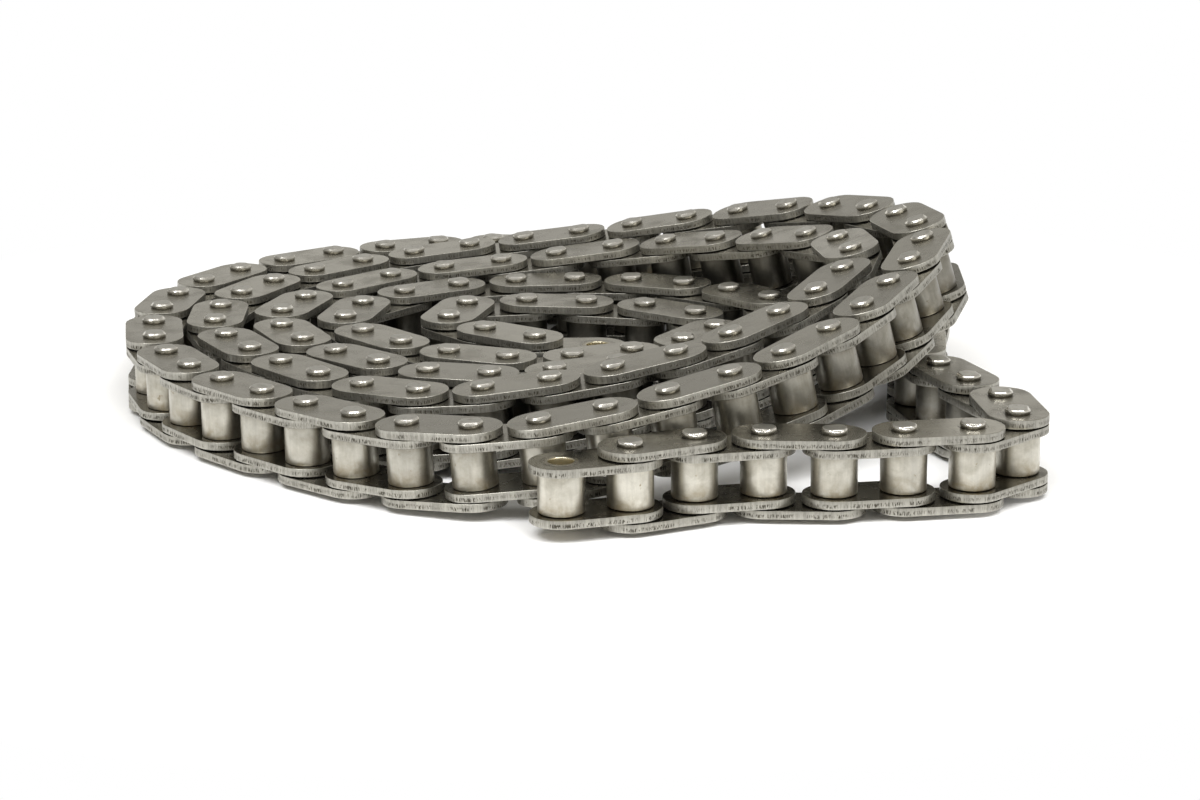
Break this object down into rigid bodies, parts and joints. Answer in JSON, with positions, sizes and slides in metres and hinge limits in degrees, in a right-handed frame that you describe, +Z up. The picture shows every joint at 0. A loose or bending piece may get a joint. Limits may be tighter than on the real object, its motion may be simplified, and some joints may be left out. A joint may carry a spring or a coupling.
{
  "type": "conveyor chain",
  "caption": "Simplex roller chain with straight side plates, lying in a loose coil with its free, jointed end in front.",
  "frame": {"origin": "middle of the coil on the surface that the chain lies on", "axes": "+Z up along the pins, -Y towards the free end in front, +X along the free end's straight run"},
  "size_m": [0.1798, 0.1852, 0.0366],
  "materials": {
    "plates": "satin, punched edges",
    "rollers": "smooth satin",
    "pins": "polished, riveted ends",
    "bushes": "turned"
  },
  "bodies": {
    "coil": {"buried_run_pin_links": "plates", "buried_run_roller_links": "plates", "outer_turn_pin_links": "plates", "outer_turn_roller_links": "plates", "second_turn_pin_links": "plates", "second_turn_roller_links": "plates", "third_turn_pin_links": "plates", "third_turn_roller_links": "plates", "fourth_turn_pin_links": "plates", "fourth_turn_roller_links": "plates", "inner_turn_pin_links": "plates", "inner_turn_roller_links": "plates", "joining_link_upper_plate": "plates", "joining_link_lower_plate": "plates", "joining_link_bushes": "bushes", "joining_link_rollers": "rollers"},
    "link_01": {"link_01_upper_plate": "plates", "link_01_lower_plate": "plates", "link_01_bushes": "bushes"},
    "link_02": {"link_02_upper_plate": "plates", "link_02_lower_plate": "plates", "link_02_pins": "pins"},
    "link_03": {"link_03_upper_plate": "plates", "link_03_lower_plate": "plates", "link_03_bushes": "bushes"},
    "link_04": {"link_04_upper_plate": "plates", "link_04_lower_plate": "plates", "link_04_pins": "pins"},
    "link_05": {"link_05_upper_plate": "plates", "link_05_lower_plate": "plates", "link_05_bushes": "bushes"},
    "link_06": {"link_06_upper_plate": "plates", "link_06_lower_plate": "plates", "link_06_pins": "pins"},
    "link_07": {"link_07_upper_plate": "plates", "link_07_lower_plate": "plates", "link_07_bushes": "bushes"},
    "link_08": {"link_08_upper_plate": "plates", "link_08_lower_plate": "plates", "link_08_pins": "pins"},
    "link_09": {"link_09_upper_plate": "plates", "link_09_lower_plate": "plates", "link_09_bushes": "bushes"},
    "link_10": {"link_10_upper_plate": "plates", "link_10_lower_plate": "plates", "link_10_pins": "pins"},
    "roller_01": {"roller_01": "rollers"},
    "roller_02": {"roller_02": "rollers"},
    "roller_03": {"roller_03": "rollers"},
    "roller_04": {"roller_04": "rollers"},
    "roller_05": {"roller_05": "rollers"},
    "roller_06": {"roller_06": "rollers"},
    "roller_07": {"roller_07": "rollers"},
    "roller_08": {"roller_08": "rollers"},
    "roller_09": {"roller_09": "rollers"},
    "roller_10": {"roller_10": "rollers"}
  },
  "joints": [
    {"name": "joint_10", "type": "hinge", "parent": "coil", "child": "link_10", "pos_m": [0.07357, -0.02817, 0.00835], "axis": [0, 0, 1], "range_deg": [0, 15]},
    {"name": "joint_09", "type": "hinge", "parent": "link_10", "child": "link_09", "pos_m": [0.07802, -0.04007, 0.00835], "axis": [0, 0, 1], "range_deg": [0, 21]},
    {"name": "joint_08", "type": "hinge", "parent": "link_09", "child": "link_08", "pos_m": [0.08257, -0.05192, 0.00835], "axis": [0, 0, 1], "range_deg": [0, 36]},
    {"name": "joint_07", "type": "hinge", "parent": "link_08", "child": "link_07", "pos_m": [0.08412, -0.06453, 0.00835], "axis": [0, 0, 1], "range_deg": [0, 75]},
    {"name": "joint_06", "type": "hinge", "parent": "link_07", "child": "link_06", "pos_m": [0.0749, -0.07327, 0.00835], "axis": [0, 0, 1], "range_deg": [0, 57]},
    {"name": "joint_05", "type": "hinge", "parent": "link_06", "child": "link_05", "pos_m": [0.06233, -0.07504, 0.00835], "axis": [0, 0, 1], "range_deg": [0, 22]},
    {"name": "joint_04", "type": "hinge", "parent": "link_05", "child": "link_04", "pos_m": [0.04974, -0.07669, 0.00835], "axis": [0, 0, 1], "range_deg": [0, 33]},
    {"name": "joint_03", "type": "hinge", "parent": "link_04", "child": "link_03", "pos_m": [0.03707, -0.07581, 0.00835], "axis": [0, 0, 1], "range_deg": [0, 7]},
    {"name": "joint_02", "type": "hinge", "parent": "link_03", "child": "link_02", "pos_m": [0.02458, -0.07812, 0.00835], "axis": [0, 0, 1], "range_deg": [0, 8]},
    {"name": "joint_01", "type": "hinge", "parent": "link_02", "child": "link_01", "pos_m": [0.01302, -0.08339, 0.00835], "axis": [0, 0, 1], "range_deg": [0, 31]},
    {"name": "roller_01_spin", "type": "hinge", "parent": "link_01", "child": "roller_01", "pos_m": [0.00079, -0.08678, 0.00835], "axis": [0, 0, 1], "continuous": true},
    {"name": "roller_02_spin", "type": "hinge", "parent": "link_01", "child": "roller_02", "pos_m": [0.01302, -0.08339, 0.00835], "axis": [0, 0, 1], "continuous": true},
    {"name": "roller_03_spin", "type": "hinge", "parent": "link_03", "child": "roller_03", "pos_m": [0.02458, -0.07812, 0.00835], "axis": [0, 0, 1], "continuous": true},
    {"name": "roller_04_spin", "type": "hinge", "parent": "link_03", "child": "roller_04", "pos_m": [0.03707, -0.07581, 0.00835], "axis": [0, 0, 1], "continuous": true},
    {"name": "roller_05_spin", "type": "hinge", "parent": "link_05", "child": "roller_05", "pos_m": [0.04974, -0.07669, 0.00835], "axis": [0, 0, 1], "continuous": true},
    {"name": "roller_06_spin", "type": "hinge", "parent": "link_05", "child": "roller_06", "pos_m": [0.06233, -0.07504, 0.00835], "axis": [0, 0, 1], "continuous": true},
    {"name": "roller_07_spin", "type": "hinge", "parent": "link_07", "child": "roller_07", "pos_m": [0.0749, -0.07327, 0.00835], "axis": [0, 0, 1], "continuous": true},
    {"name": "roller_08_spin", "type": "hinge", "parent": "link_07", "child": "roller_08", "pos_m": [0.08412, -0.06453, 0.00835], "axis": [0, 0, 1], "continuous": true},
    {"name": "roller_09_spin", "type": "hinge", "parent": "link_09", "child": "roller_09", "pos_m": [0.08257, -0.05192, 0.00835], "axis": [0, 0, 1], "continuous": true},
    {"name": "roller_10_spin", "type": "hinge", "parent": "link_09", "child": "roller_10", "pos_m": [0.07802, -0.04007, 0.00835], "axis": [0, 0, 1], "continuous": true}
  ]
}
